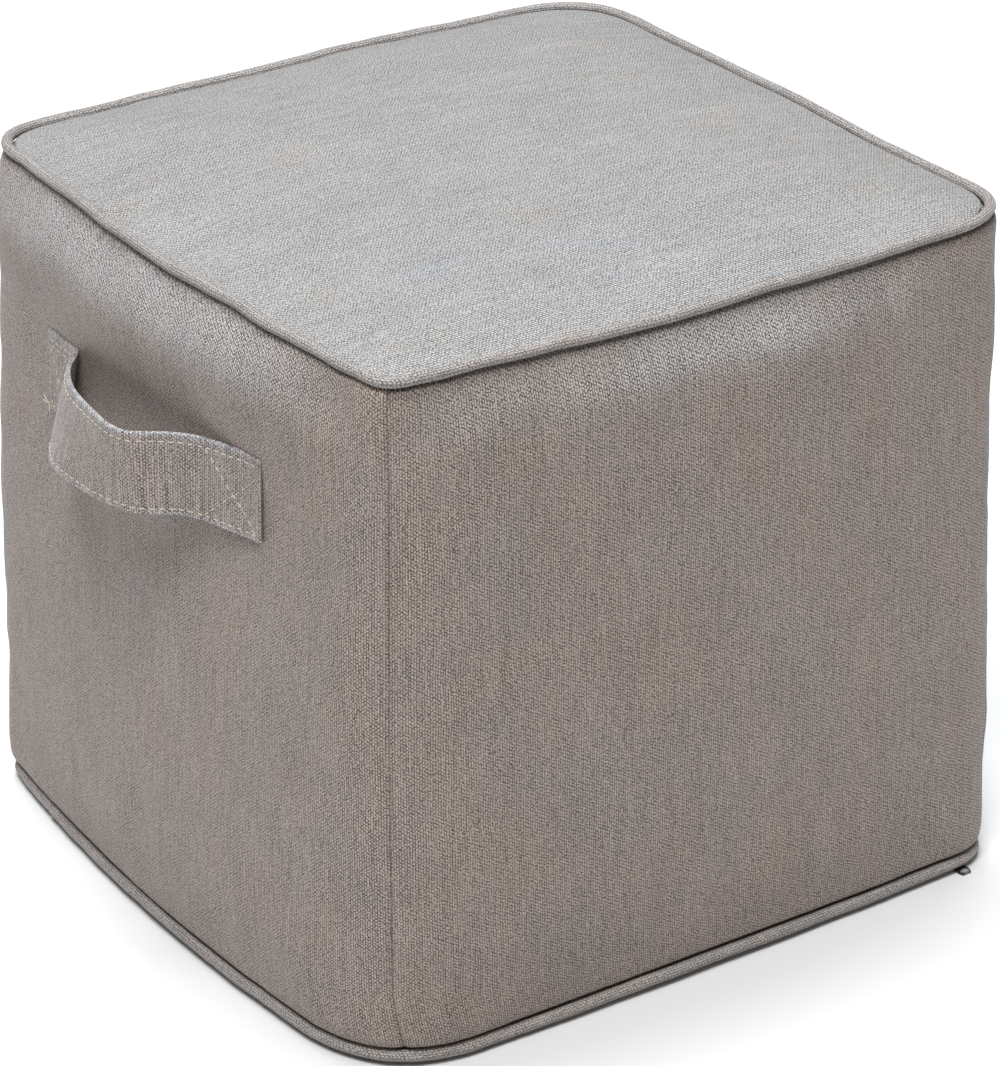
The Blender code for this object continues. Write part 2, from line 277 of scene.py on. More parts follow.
FRACTIONS = column_fractions()


def outline(part, out=0.0, puff=0.0, soften=0.0, fractions=FRACTIONS):
    """The whole outline at a part of the rise, as columns round the cube."""
    half_x = mix(BASE_SEAM.half_x, TOP_SEAM.half_x, part) + out
    half_y = mix(BASE_SEAM.half_y, TOP_SEAM.half_y, part) + out
    bows = [mix(b, t, part) + puff for b, t in zip(BASE_SEAM.bows, TOP_SEAM.bows)]
    roundings = [mix(b, t, part) + soften for b, t in zip(BASE_SEAM.roundings, TOP_SEAM.roundings)]
    places = seam_places(part)
    panels = [panel_line(side, half_x, half_y, bows, roundings, places) for side in range(4)]
    return np.vstack([place_along(line, fractions[:-1]) for line in panels])


def outward_normals(points):
    """Level directions that point out of a closed outline that runs left, front, right, back."""
    along = np.roll(points, -1, axis=0) - np.roll(points, 1, axis=0)
    normals = np.column_stack((along[:, 1], -along[:, 0]))
    return normals / np.linalg.norm(normals, axis=1, keepdims=True)


def left_face_x(y, z):
    """Where the left side panel's surface is."""
    part = (z - BASE_SEAM.height) / SEAM_RISE
    band = smooth_between(BANDS, "height", part)
    half_x = mix(BASE_SEAM.half_x, TOP_SEAM.half_x, part) + band.out
    half_y = mix(BASE_SEAM.half_y, TOP_SEAM.half_y, part) + band.out
    bow = mix(BASE_SEAM.bows.left, TOP_SEAM.bows.left, part) + band.puff
    return -(half_x + bow * (1 - (y / half_y) ** 2))


def crown_rise(scale):
    return CROWN * (1 - scale**2.4) ** 0.75


def base_rise(scale):
    rim = np.clip((np.asarray(scale) - BASE_FLAT) / (1 - BASE_FLAT), 0, None)
    return BASE_RIM_RISE * rim**1.5


# Meshes

def select_only(obj=None):
    """Select one object and make it active, or select nothing."""
    for other in bpy.context.selected_objects:
        other.select_set(False)
    if obj is not None:
        obj.select_set(True)
        bpy.context.view_layer.objects.active = obj


def add_piece(name, points, faces, uvs):
    """A smooth mesh piece, with a cloth map in metres, one place for each corner of each face."""
    mesh = bpy.data.meshes.new(name)
    mesh.from_pydata([tuple(p) for p in points], [], faces)
    layer = mesh.uv_layers.new(name="cloth")
    layer.data.foreach_set("uv", np.asarray(uvs, np.float32).ravel())
    mesh.shade_smooth()
    mesh.validate()
    obj = bpy.data.objects.new(name, mesh)
    bpy.context.scene.collection.objects.link(obj)
    return obj


class Skin:
    """Gathers rings of points and the faces between them."""

    def __init__(self):
        self.points = []
        self.faces = []
        self.uvs = []

    def add_points(self, ring):
        start = len(self.points)
        self.points.extend(np.asarray(ring).tolist())
        return np.arange(start, start + len(ring))

    def join(self, lower, upper, u_start, u_end, v_lower, v_upper):
        """Faces between two closed rings, given the map places of each column."""
        count = len(lower)
        for i in range(count):
            j = (i + 1) % count
            self.faces.append((lower[i], lower[j], upper[j], upper[i]))
            start, end = u_start[i], u_end[i]
            self.uvs.extend(((start, v_lower[i]), (end, v_lower[j]), (end, v_upper[j]), (start, v_upper[i])))

    def flat_places(self, indices):
        """Cloth places seen from above, whose slubs run along X."""
        return [(self.points[k][1] + FLAT_MAP_START, self.points[k][0]) for k in indices]

    def join_flat(self, lower, upper):
        """Faces between two closed rings, mapped as seen from above."""
        count = len(lower)
        for i in range(count):
            j = (i + 1) % count
            face = (lower[i], lower[j], upper[j], upper[i])
            self.faces.append(face)
            self.uvs.extend(self.flat_places(face))

    def tube(self, loops):
        """Faces along a thin thread's rings, with a cap on each end."""
        count = len(loops[0])
        for lower, upper in zip(loops, loops[1:]):
            for k in range(count):
                j = (k + 1) % count
                self.faces.append((lower[k], lower[j], upper[j], upper[k]))
                self.uvs.extend(((k, 0.0), (k + 1, 0.0), (k + 1, 1.0), (k, 1.0)))
        for cap in (loops[0][::-1], loops[-1]):
            self.faces.append(tuple(cap))
            self.uvs.extend((0.0, 0.0) for _ in cap)

    def fan(self, ring, centre, upward):
        """Faces from a closed ring to its centre, mapped as seen from above."""
        count = len(ring)
        for i in range(count):
            j = (i + 1) % count
            face = (ring[i], ring[j], centre) if upward else (ring[j], ring[i], centre)
            self.faces.append(face)
            self.uvs.extend(self.flat_places(face))


def column_map():
    """Where each column starts and ends on the cloth, panel by panel."""
    starts = []
    ends = []
    for side in range(4):
        starts.append(side * MAP_STEP + FRACTIONS[:-1] * PANEL_LENGTH)
        ends.append(side * MAP_STEP + FRACTIONS[1:] * PANEL_LENGTH)
    return np.concatenate(starts), np.concatenate(ends)


# Side panels

GROOVE_DEPTH = 1.3 * MM
GROOVE_WIDTH = 1.3 * MM
SHOULDER_DEPTH = 0.5 * MM
SHOULDER_WIDTH = 6.0 * MM


def seam_distance():
    """Distance of every column from its nearest upright seam."""
    from_start = FRACTIONS[:-1] * PANEL_LENGTH
    return np.tile(np.minimum(from_start, PANEL_LENGTH - from_start), 4)


def strap_footing(points):
    """1 where the strap is sewn down on the left face, falling to 0 round it."""
    y, z = points[..., 1], points[..., 2]
    on_left = points[..., 0] < -0.18
    mask = np.zeros(y.shape)
    for middle_y, middle_z, reach_y in ((0.099, 0.300, 0.020), (-0.093, 0.308, 0.024)):
        dy = np.clip((np.abs(y - middle_y) - reach_y) / 0.020, 0, 1)
        dz = np.clip((np.abs(z - middle_z) - 0.028) / 0.020, 0, 1)
        fall = np.clip(1 - np.hypot(dy, dz), 0, 1)
        mask = np.maximum(mask, fall * fall * (3 - 2 * fall))
    return mask * on_left


# Where the cloth is dented, or bulges where the depth is below 0: centre, width, height and depth
DENTS_AND_BULGES = (
    ((0.203, -0.207, 0.381), 9 * MM, 4.5 * MM, 1.7 * MM),
    ((0.171, -0.212, 0.374), 8 * MM, 4.0 * MM, 1.1 * MM),
    ((0.209, -0.190, 0.384), 9 * MM, 5.0 * MM, 1.2 * MM),
    ((0.212, -0.185, 0.400), 24 * MM, 10.0 * MM, -2.6 * MM),
    ((0.212, -0.185, 0.335), 30 * MM, 22.0 * MM, -1.9 * MM),
    ((0.212, -0.185, 0.110), 34 * MM, 40.0 * MM, -2.0 * MM),
    ((-0.222, 0.190, 0.215), 45 * MM, 120.0 * MM, -3.4 * MM),
)


def side_relief(points):
    """How far the cloth stands out of its smooth shape, at every row and column."""
    distance = seam_distance()[None, :]
    depth_top = TOP_SEAM.height - points[..., 2]
    depth_base = points[..., 2] - BASE_SEAM.height
    relief = -GROOVE_DEPTH * np.exp(-((distance / GROOVE_WIDTH) ** 2)) * np.ones(depth_top.shape)
    relief -= SHOULDER_DEPTH * np.exp(-((distance / SHOULDER_WIDTH) ** 2))
    seam_pull = soft_noise(points * np.array((0.6, 0.6, 1.0)), 7.5 * MM, 1)
    relief += 0.35 * MM * seam_pull * np.exp(-distance / (7 * MM))
    piping_pull = soft_noise(points * np.array((1.0, 1.0, 0.25)), 8 * MM, 2)
    relief += 0.40 * MM * piping_pull * np.exp(-np.abs(depth_top - 5 * MM) / (9 * MM))
    relief += 0.35 * MM * piping_pull * np.exp(-np.abs(depth_base - 6 * MM) / (9 * MM))
    swell = 0.9 * MM * soft_noise(points, 95 * MM, 3) + 0.45 * MM * soft_noise(points, 38 * MM, 4)
    fade = np.clip(np.minimum(depth_top, depth_base) / (20 * MM), 0, 1)
    relief += swell * fade * (1 - strap_footing(points))
    for centre, wide, tall, deep in DENTS_AND_BULGES:
        level = np.linalg.norm(points[..., :2] - np.array(centre[:2]), axis=-1)
        relief -= deep * np.exp(-((level / wide) ** 2) - ((points[..., 2] - centre[2]) / tall) ** 2)
    return relief - 0.5 * MM * strap_footing(points)


def shoulder_swell(points):
    """How far the filling swells the side panels out below the top piping."""
    along = FRACTIONS[:-1]
    depth = TOP_SEAM.height - points[..., 2]
    swell = np.zeros(depth.shape)
    count = len(along)
    for side, table in enumerate(SHOULDERS):
        amount = np.interp(along, *zip(*table))
        kernel = np.hanning(11)[1:-1]
        amount = np.convolve(np.pad(amount, 4, mode="edge"), kernel / kernel.sum(), mode="valid")
        amount *= np.clip(np.minimum(along, 1 - along) / 0.04, 0, 1)
        strap_side = STRAP_SIDE_RISE + STRAP_SIDE_FALL
        fall = strap_side if side == 0 else PLAIN_SIDE_RISE + PLAIN_SIDE_FALL
        columns = slice(side * count, (side + 1) * count)
        swell[:, columns] = np.interp(depth[:, columns], *zip(*fall)) * amount
    kernel = np.array((1, 3, 4, 3, 1)) / 12
    padded = np.pad(swell, ((2, 2), (0, 0)), mode="edge")
    smooth = sum(weight * padded[k : k + len(swell)] for k, weight in enumerate(kernel))
    return SHOULDER_SWELL * smooth


# How far the cloth's colour carries a painted highlight, lighter and cooler, and painted shade, darker, by
# the depth below the top piping's middle
PAINTED_HIGHLIGHT_DEPTHS = ((0.0, 0.9), (0.006, 1.0), (0.024, 1.0), (0.031, 0.70), (0.039, 0.20), (0.049, 0.0), (0.4, 0.0))
PAINTED_SEAM_SHADE_DEPTHS = ((0.0, 1.0), (0.006, 0.75), (0.011, 0.0))


def keep_values(obj, name, values):
    """Values from 0 to 1, one for each point, kept on the mesh for its material: the fade values are how far
    the cloth gets a painted highlight, lighter and cooler, and the seam values how far it gets painted shade,
    darker. Both add to what the light does."""
    kept = obj.data.attributes.new(name, "FLOAT", "POINT")
    kept.data.foreach_set("value", np.clip(values, 0, 1).astype(np.float32))


def body_rows():
    """Heights of the rows of the side panels, as parts of the rise."""
    low = [0.0115, 0.0132, 0.0150, 0.0170, 0.0195, 0.0230, 0.0280, 0.0350]
    high = [0.9600, 0.9660, 0.9720, 0.9760, 0.9790, 0.9815, 0.9835, 0.9850, 0.9865, 0.9880]
    count = int(round((high[0] - low[-1]) * SEAM_RISE / ROW_STEP))
    return low + list(np.linspace(low[-1], high[0], count + 1))[1:-1] + high


def side_grid(parts, fractions):
    """The smooth side panels, as rows of columns."""
    rows = []
    for part in parts:
        band = smooth_between(BANDS, "height", part)
        line = outline(part, band.out, band.puff, band.soften, fractions)
        weight = max(0.0, 1 - 8 * min(part, 1 - part))
        lift = weight * sway(line[:, 0], line[:, 1], top=part > 0.5)
        rows.append(np.column_stack((line, BASE_SEAM.height + part * SEAM_RISE + lift)))
    return np.array(rows)


SIM_COLUMNS = 46            # cells across each side panel
SIM_ROWS = 44
SIM_FRAMES = 20
SIM_PRESSURE = 4.0
SLACK = -0.035              # the cloth is cut this much larger than the filling
PUCKER_LIMIT = 1.6 * MM


def sewn_puckers():
    """Fill the side panels under pressure with their seams held, and keep only the fine puckers that it
    leaves, cut off at a limit."""
    fractions = np.linspace(0, 1, SIM_COLUMNS + 1)
    parts = np.linspace(0.0115, 0.988, SIM_ROWS)
    rest = side_grid(parts, fractions)
    rows, columns = rest.shape[:2]
    faces = []
    for r in range(rows - 1):
        for c in range(columns):
            d = (c + 1) % columns
            faces.append((r * columns + c, r * columns + d, (r + 1) * columns + d, (r + 1) * columns + c))
    mesh = bpy.data.meshes.new("cloth_trial")
    mesh.from_pydata([tuple(p) for p in rest.reshape(-1, 3)], [], faces)
    trial = bpy.data.objects.new("cloth_trial", mesh)
    bpy.context.scene.collection.objects.link(trial)
    sewn = trial.vertex_groups.new(name="sewn")
    footing = strap_footing(rest)
    for r in range(rows):
        for c in range(columns):
            held = 1.0 if r in (0, rows - 1) or c % SIM_COLUMNS == 0 else float(footing[r, c])
            if held > 0:
                sewn.add([r * columns + c], held, "REPLACE")
    cloth = trial.modifiers.new("filled cloth", "CLOTH")
    settings = cloth.settings
    settings.quality = 6
    settings.mass = 0.25
    settings.tension_stiffness = 20.0
    settings.compression_stiffness = 20.0
    settings.shear_stiffness = 8.0
    settings.bending_stiffness = 0.15
    settings.use_pressure = True
    settings.uniform_pressure_force = SIM_PRESSURE
    settings.vertex_group_mass = "sewn"
    settings.shrink_min = SLACK
    settings.effector_weights.gravity = 0.0
    cloth.collision_settings.use_self_collision = False
    for frame_number in range(1, SIM_FRAMES + 1):
        bpy.context.scene.frame_set(frame_number)
    filled = trial.evaluated_get(bpy.context.evaluated_depsgraph_get())
    moved = np.zeros(rows * columns * 3, np.float32)
    filled.data.vertices.foreach_get("co", moved)
    moved = moved.reshape(rest.shape).astype(float)
    bpy.data.objects.remove(trial, do_unlink=True)
    bpy.context.scene.frame_set(1)
    normals = np.array([outward_normals(row[:, :2]) for row in rest])
    puff = ((moved - rest)[..., :2] * normals).sum(axis=2)
    puff -= smooth_grid(puff, 4)
    puff = np.clip(puff, -PUCKER_LIMIT, PUCKER_LIMIT)
    return fractions, parts, smooth_grid(puff, 1)


def smooth_grid(values, reach):
    """Average rows and columns over a few neighbours. Columns run right round."""
    kernel = np.hanning(2 * reach + 3)[1:-1]
    kernel /= kernel.sum()
    out = sum(w * np.roll(values, k - reach, axis=1) for k, w in enumerate(kernel))
    out = np.pad(out, ((reach, reach), (0, 0)), mode="edge")
    return sum(w * out[k : k + len(values)] for k, w in enumerate(kernel))


def spread_puckers(puckers, parts):
    """The puckers of the trial cloth at the rows and columns of the real one."""
    fractions, trial_parts, puff = puckers
    sides = []
    for side in range(4):
        block = puff[:, np.arange(side * SIM_COLUMNS, (side + 1) * SIM_COLUMNS + 1) % (4 * SIM_COLUMNS)]
        sides.append(np.array([np.interp(FRACTIONS[:-1], fractions, row) for row in block]))
    wide = np.hstack(sides)
    return np.array([np.interp(parts, trial_parts, wide[:, c]) for c in range(wide.shape[1])]).T


def make_filled_body():
    skin = Skin()
    u_start, u_end = column_map()
    parts = body_rows()
    grid = side_grid(parts, FRACTIONS)
    swell = shoulder_swell(grid)
    relief = side_relief(grid) + swell
    relief += spread_puckers(sewn_puckers(), parts) * (1 - strap_footing(grid))
    for row, shift in zip(grid, relief):
        row[:, :2] += outward_normals(row[:, :2]) * shift[:, None]

    def tucked(part, out, height, top):
        line = outline(part, out)
        return np.column_stack((line, height + sway(line[:, 0], line[:, 1], top)))

    base_tuck = (BASE_PIPING_RADIUS + 2 * CLEARANCE) * math.sin(math.radians(45))
    below = [tucked(0.0, -base_tuck - 0.8 * MM, BASE_SEAM.height + 1.0 * MM, False)]
    below.append(tucked(0.0, -base_tuck, BASE_SEAM.height + base_tuck, False))
    above = [tucked(1.0, -1.6 * MM, TOP_SEAM.height - 3.6 * MM, True)]
    above.append(tucked(1.0, -3.9 * MM, TOP_SEAM.height - 2.6 * MM, True))
    loops = [skin.add_points(ring) for ring in (*below, *grid, *above)]
    for lower, upper in zip(loops, loops[1:]):
        v_lower = np.array([skin.points[k][2] for k in lower])
        v_upper = np.array([skin.points[k][2] for k in upper])
        skin.join(lower, upper, u_start, u_end, v_lower, v_upper)

    def close(loop, scales, rise, upward):
        rim = np.array([skin.points[k] for k in loop])
        last = loop
        for s in scales:
            ring = rim.copy()
            ring[:, :2] *= s
            ring[:, 2] = rise(s)
            fresh = skin.add_points(ring)
            if upward:
                skin.join_flat(last, fresh)
            else:
                skin.join_flat(fresh, last)
            last = fresh
        centre = int(skin.add_points([(0.0, 0.0, rise(0.0))])[0])
        skin.fan(last, centre, upward)

    close(loops[-1], (0.96, 0.9, 0.8, 0.6, 0.3), lambda s: TOP_SEAM.height - 3.6 * MM + crown_rise(s), True)
    close(loops[0], (0.96, 0.86, 0.5), lambda s: 3.0 * MM + float(base_rise(s)), False)
    obj = add_piece("filled_cube", skin.points, skin.faces, skin.uvs)
    # painted highlight: where the filling swells the side panels below the top piping, the cloth is tinted
    # lighter and cooler, standing in for light from above on the rolled edge
    painted_highlight_values = np.zeros(len(skin.points))
    # painted shade: on the front, right and back sides a dark band just below the top piping stands in for
    # the piping's shadow
    painted_seam_shade_values = np.zeros(len(skin.points))
    plain_sides = np.repeat((0.0, 1.0, 1.0, 1.0), len(FRACTIONS) - 1)
    most = swell.max(axis=0) / SHOULDER_SWELL
    for loop, row in zip(loops[len(below) :], grid):
        depth = TOP_SEAM.height - row[:, 2]
        painted_highlight_values[loop] = most * np.interp(depth, *zip(*PAINTED_HIGHLIGHT_DEPTHS))
        painted_seam_shade_values[loop] = plain_sides * np.interp(depth, *zip(*PAINTED_SEAM_SHADE_DEPTHS))
    keep_values(obj, "fade", painted_highlight_values)
    keep_values(obj, "painted_seam_shade", painted_seam_shade_values)
    return obj


# Top and base panels

def panel_rings():
    far = np.array((1.0, 0.9965, 0.993, 0.989, 0.984, 0.977, 0.968, 0.956))
    return np.concatenate((far, np.linspace(0.94, 0.02, 62)))


def make_panel(name, part, inset, top):
    """A panel drawn in rings from its seam to its middle, then given its thickness downwards."""
    skin = Skin()
    line = outline(part, -inset)
    lift = sway(line[:, 0], line[:, 1], top)
    radius = np.linalg.norm(line, axis=1).mean()
    angle = np.arctan2(line[:, 1], line[:, 0])
    circle = np.column_stack((np.cos(angle), np.sin(angle))) * radius
    loops = []
    for s in panel_rings():
        round_part = 0.75 * (1 - s) ** 1.3
        flat = (line * (1 - round_part) + circle * round_part) * s
        if top:
            height = TOP_SEAM.height - 0.2 * MM + crown_rise(s) + lift * s**6
        else:
            height = base_rise(s) + PANEL_THICK + 0.15 * MM + lift * s**16
        ring = np.column_stack((flat, np.broadcast_to(height, len(flat))))
        edge = (1 - s) * radius
        pull = soft_noise(ring, 9 * MM, 5) * 0.35 * MM * math.exp(-abs(edge - 4 * MM) / (8 * MM))
        swell = soft_noise(ring, 90 * MM, 6) * 1.0 * MM + soft_noise(ring, 34 * MM, 7) * 0.35 * MM
        if top:
            ring[:, 2] += pull + swell * min(1.0, edge / (25 * MM))
        loops.append(skin.add_points(ring))
    for outer, inner in zip(loops, loops[1:]):
        skin.join_flat(outer, inner)
    middle = np.array([skin.points[k] for k in loops[-1]]).mean(axis=0)
    centre = int(skin.add_points([middle])[0])
    skin.fan(loops[-1], centre, True)
    obj = add_piece(name, skin.points, skin.faces, skin.uvs)
    apply_modifier(obj, "SOLIDIFY", thickness=PANEL_THICK, offset=-1.0)
    return obj


def apply_modifier(obj, kind, **settings):
    """Add a modifier and apply it, with nothing else selected."""
    select_only(obj)
    modifier = obj.modifiers.new(kind.lower(), kind)
    for key, value in settings.items():
        setattr(modifier, key, value)
    bpy.ops.object.modifier_apply(modifier=modifier.name)
    obj.select_set(False)


# Pipings

PIPING_LAP_Y = 0.135        # where the base piping's ends lap, on the strap's side
PIPING_COLUMNS = 1100
PIPING_AROUND = 16


def make_piping(name, part, radius, height, top):
    """A cloth-covered cord all round a seam, slightly uneven as sewn piping is."""
    columns = PIPING_COLUMNS
    around = PIPING_AROUND
    places = seam_places(part)
    seam = TOP_SEAM if top else BASE_SEAM
    shape = (seam.half_x, seam.half_y, seam.bows, seam.roundings, places)
    sides = [panel_line(side, *shape) for side in range(4)]
    whole = np.vstack([line[:-1] for line in sides] + [sides[0][:1]])
    flat = place_along(whole, np.arange(columns) / columns)
    length = np.linalg.norm(np.diff(whole, axis=0), axis=1).sum()
    normals = outward_normals(flat)
    lift = sway(flat[:, 0], flat[:, 1], top)
    path = np.column_stack((flat, height + lift))
    wander = soft_noise(path, 30 * MM, 8) * 0.5 * MM
    thick = 1 + 0.06 * soft_noise(path, 16 * MM, 9) + 0.04 * soft_noise(path, 6 * MM, 10)
    if not top:
        from_lap = np.where(flat[:, 0] < -0.15, flat[:, 1] - PIPING_LAP_Y, 1.0)
        swollen = 0.16 * np.exp(-((from_lap / (4 * MM)) ** 2))
        thick += swollen - 0.30 * np.exp(-(((from_lap - 3 * MM) / (1.6 * MM)) ** 2))
    skin = Skin()
    loops = []
    for k in range(around):
        turn = 2 * math.pi * k / around
        reach = radius * thick
        ring = path.copy()
        ring[:, :2] += normals * (reach * math.cos(turn) + wander)[:, None]
        ring[:, 2] += reach * math.sin(turn)
        if not top:
            ring[:, 2] = np.maximum(ring[:, 2], 0.2 * MM)
        loops.append(skin.add_points(ring))
    v_start = np.arange(columns) / columns * length
    v_end = (np.arange(columns) + 1) / columns * length
    for k in range(around):
        lower, upper = loops[k], loops[(k + 1) % around]
        u_lower = k / around * 2 * math.pi * radius
        u_upper = (k + 1) / around * 2 * math.pi * radius
        for i in range(columns):
            j = (i + 1) % columns
            skin.faces.append((lower[i], lower[j], upper[j], upper[i]))
            start, end = v_start[i], v_end[i]
            skin.uvs.extend(((u_lower, start), (u_lower, end), (u_upper, end), (u_upper, start)))
    return add_piece(name, skin.points, skin.faces, skin.uvs)


# Carrying strap

def strap_middle(station, t):
    """A point in the strap's mid layer: station along it, t from 0 at its lower edge to 1."""
    place = smooth_between(STRAP_ROUTE, "station", station)
    middle_z = mix(STRAP_MID_Z_FAR, STRAP_MID_Z_NEAR, station / STRAP_LENGTH)
    y = STRAP_START_Y - mix(place.lower_along, place.upper_along, t)
    z = middle_z + (t - 0.5) * STRAP_WIDTH
    out = mix(place.lower_out, place.upper_out, t) + CLEARANCE + STRAP_THICK / 2
    return Vector((left_face_x(y, z) - out, y, z))


def strap_frame(station, t):
    """A point of the strap's mid layer, with its outward, lengthwise and upward directions."""
    step = 1.5 * MM
    ahead = strap_middle(min(station + step, STRAP_LENGTH), t)
    behind = strap_middle(max(station - step, 0.0), t)
    along = (ahead - behind).normalized()
    up = (strap_middle(station, min(t + 0.04, 1.0)) - strap_middle(station, max(t - 0.04, 0.0))).normalized()
    out = along.cross(up).normalized()
    if out.x > 0:
        out = -out
    return strap_middle(station, t), out, along, up


UPPER_ROW = 1 - 5.0 / 47.0
LOWER_ROW = 3.2 / 47.0
STITCH_GROOVE = 0.30 * MM
STRAP_COLUMNS = 244


def strap_section():
    """The strap's closed section: place across it, and height off its mid layer. Its folded edges are
    square, with a line between the two layers."""
    half = STRAP_THICK / 2
    edge = ((0.35 * MM, 0.20), (0.0, 0.45), (0.08 * MM, 0.78), (0.45 * MM, 0.97), (1.1 * MM, 1.0))
    rise = [(x / STRAP_WIDTH, part * half) for x, part in edge]
    inside = np.linspace(2.0 * MM, STRAP_WIDTH - 2.0 * MM, 44) / STRAP_WIDTH
    flat = []
    for t in inside:
        height = half
        for row in (UPPER_ROW, LOWER_ROW):
            height -= STITCH_GROOVE * math.exp(-(((t - row) * STRAP_WIDTH / (1.2 * MM)) ** 2))
        flat.append((float(t), height))
    fall = [(1 - t, height) for t, height in reversed(rise)]
    outer = rise + flat + fall
    inner = [(t, -height) for t, height in reversed(outer)]
    fold = 0.60 * MM / STRAP_WIDTH
    return [(fold, 0.0)] + outer + [(1 - fold, 0.0)] + inner


def make_strap():
    section = strap_section()
    columns = STRAP_COLUMNS
    skin = Skin()
    loops = []
    for c in range(columns + 1):
        station = STRAP_LENGTH * c / columns
        end = min(station, STRAP_LENGTH - station)
        pinch = math.sqrt(max(0.0, 1 - (1 - min(end / (1.1 * MM), 1.0)) ** 2))
        ring = []
        for t, height in section:
            middle, out = strap_frame(station, t)[:2]
            ripple = 0.25 * MM * noise.noise(Vector((station / 0.009, t * 3.0, 4.0)))
            ring.append(middle + out * (height * (0.35 + 0.65 * pinch) + ripple * min(1.0, end / 0.01)))
        loops.append(skin.add_points([tuple(p) for p in ring]))
    count = len(section)
    travelled = [0.0]
    for (t0, h0), (t1, h1) in zip(section, section[1:] + section[:1]):
        travelled.append(travelled[-1] + math.hypot((t1 - t0) * STRAP_WIDTH, h1 - h0))
    for c in range(columns):
        v0 = STRAP_LENGTH * c / columns
        v1 = STRAP_LENGTH * (c + 1) / columns
        for k in range(count):
            j = (k + 1) % count
            skin.faces.append((loops[c][k], loops[c][j], loops[c + 1][j], loops[c + 1][k]))
            u0, u1 = travelled[k], travelled[k + 1]
            skin.uvs.extend(((v0, u0), (v0, u1), (v1, u1), (v1, u0)))
    outer_count = len(section) // 2 + 1
    for loop, turned in ((loops[0], True), (loops[-1], False)):
        for k in range(outer_count - 1):
            a, b = loop[k], loop[k + 1]
            c, d = loop[(count - k - 1) % count], loop[(count - k) % count]
            corners = [a, b, c, d] if len({a, b, c, d}) == 4 else list(dict.fromkeys((a, b, c, d)))
            if turned:
                corners = corners[::-1]
            skin.faces.append(tuple(corners))
            skin.uvs.extend((0.01 * n, 0.0) for n in range(len(corners)))
    obj = add_piece("carrying_strap", skin.points, skin.faces, skin.uvs)
    # painted highlight: the strap's folded edges are tinted lighter and cooler, standing in for light
    # catching them
    to_edge = np.array([min(t, 1 - t) * STRAP_WIDTH for t, height in section])
    keep_values(obj, "fade", np.tile(np.clip(1.5 - to_edge / (1.6 * MM), 0, 1), columns + 1))
    face_outward(obj)
    return obj


def face_outward(obj):
    select_only(obj)
    bpy.ops.object.mode_set(mode="EDIT")
    bpy.ops.mesh.select_all(action="SELECT")
    bpy.ops.mesh.normals_make_consistent(inside=False)
    bpy.ops.object.mode_set(mode="OBJECT")
    obj.select_set(False)


# Stitches on the strap

STITCH_PITCH = 5.4 * MM
STITCH_LENGTH = 4.1 * MM
STITCH_RADIUS = 0.36 * MM
STITCH_SIDES = 6
TAIL_RADIUS = 0.28 * MM     # the sewing thread's loose ends
TAIL_SIDES = 5
TAIL_STEPS = 12


def stitch_lines():
    """Sewn lines on the strap, as (station, across) ends and boldness, across in parts of its width."""
    near_start, near_end = STRAP_LENGTH - 42 * MM, STRAP_LENGTH - 3.5 * MM
    far_start, far_end = 3.5 * MM, 25 * MM
    second_row = UPPER_ROW - 3.4 / 47
    return [
        ((far_start, UPPER_ROW), (near_end, UPPER_ROW), 1.0),
        ((far_start, LOWER_ROW), (near_end, LOWER_ROW), 1.0),
        ((near_start, UPPER_ROW), (near_end, LOWER_ROW), 0.95),
        ((near_end, UPPER_ROW - 0.14), (near_start, LOWER_ROW), 0.62),
        ((far_start, second_row), (far_end, second_row), 0.9),
        ((far_start, second_row), (far_end, LOWER_ROW), 0.75),
        ((far_end, second_row), (far_start, LOWER_ROW), 0.75),
    ]


def stitch_shape():
    """One stitch, lying along X: rings of a thin bead whose ends dip into the cloth."""
    rings = []
    for x in (-0.5, -0.42, -0.25, 0.0, 0.25, 0.42, 0.5):
        thick = STITCH_RADIUS * max(0.25, (1 - (2 * x) ** 4)) ** 0.5
        dip = -0.55 * MM * (2 * x) ** 4
        ring = []
        for k in range(STITCH_SIDES):
            turn = 2 * math.pi * k / STITCH_SIDES
            ring.append((x * STITCH_LENGTH, thick * math.cos(turn), dip + 0.75 * thick * math.sin(turn)))
        rings.append(ring)
    return rings


def add_thread_tails(skin):
    """The sewing thread's loose ends, at the strap's lower far corner."""
    start, _, along, _ = strap_frame(2 * MM, LOWER_ROW)
    out = Vector((-1, 0, 0))
    start = start + out * (STRAP_THICK / 2)
    tails = (
        ((0, 0, 0), (-2, 0.0, 1.2), (-4, 1.5, 1.8), (-5.5, 1.0, 1.4)),
        ((0, 0, 0), (-1, 1.5, 1.0), (-1.5, 3.0, 1.8), (-4.0, 4.5, 1.6)),
        ((0, 0, 0), (0.5, -2.0, 0.9), (1.5, -3.0, 1.4), (0.5, -4.5, 0.8)),
    )
    for tail in tails:
        line = []
        for step in range(TAIL_STEPS + 1):
            t = step / TAIL_STEPS
            weights = ((1 - t) ** 3, 3 * t * (1 - t) ** 2, 3 * t**2 * (1 - t), t**3)
            a, b, c = (sum(w * p[k] for w, p in zip(weights, tail)) * MM for k in range(3))
            line.append(start + along * a + Vector((0, 0, 1)) * b + out * c)
        loops = []
        for n, point in enumerate(line):
            ahead = (line[min(n + 1, TAIL_STEPS)] - line[max(n - 1, 0)]).normalized()
            side = ahead.cross(out).normalized()
            lift = side.cross(ahead)
            ring = []
            for k in range(TAIL_SIDES):
                turn = 2 * math.pi * k / TAIL_SIDES
                around = side * math.cos(turn) + lift * math.sin(turn)
                ring.append(tuple(point + around * TAIL_RADIUS))
            loops.append(skin.add_points(ring))
        skin.tube(loops)


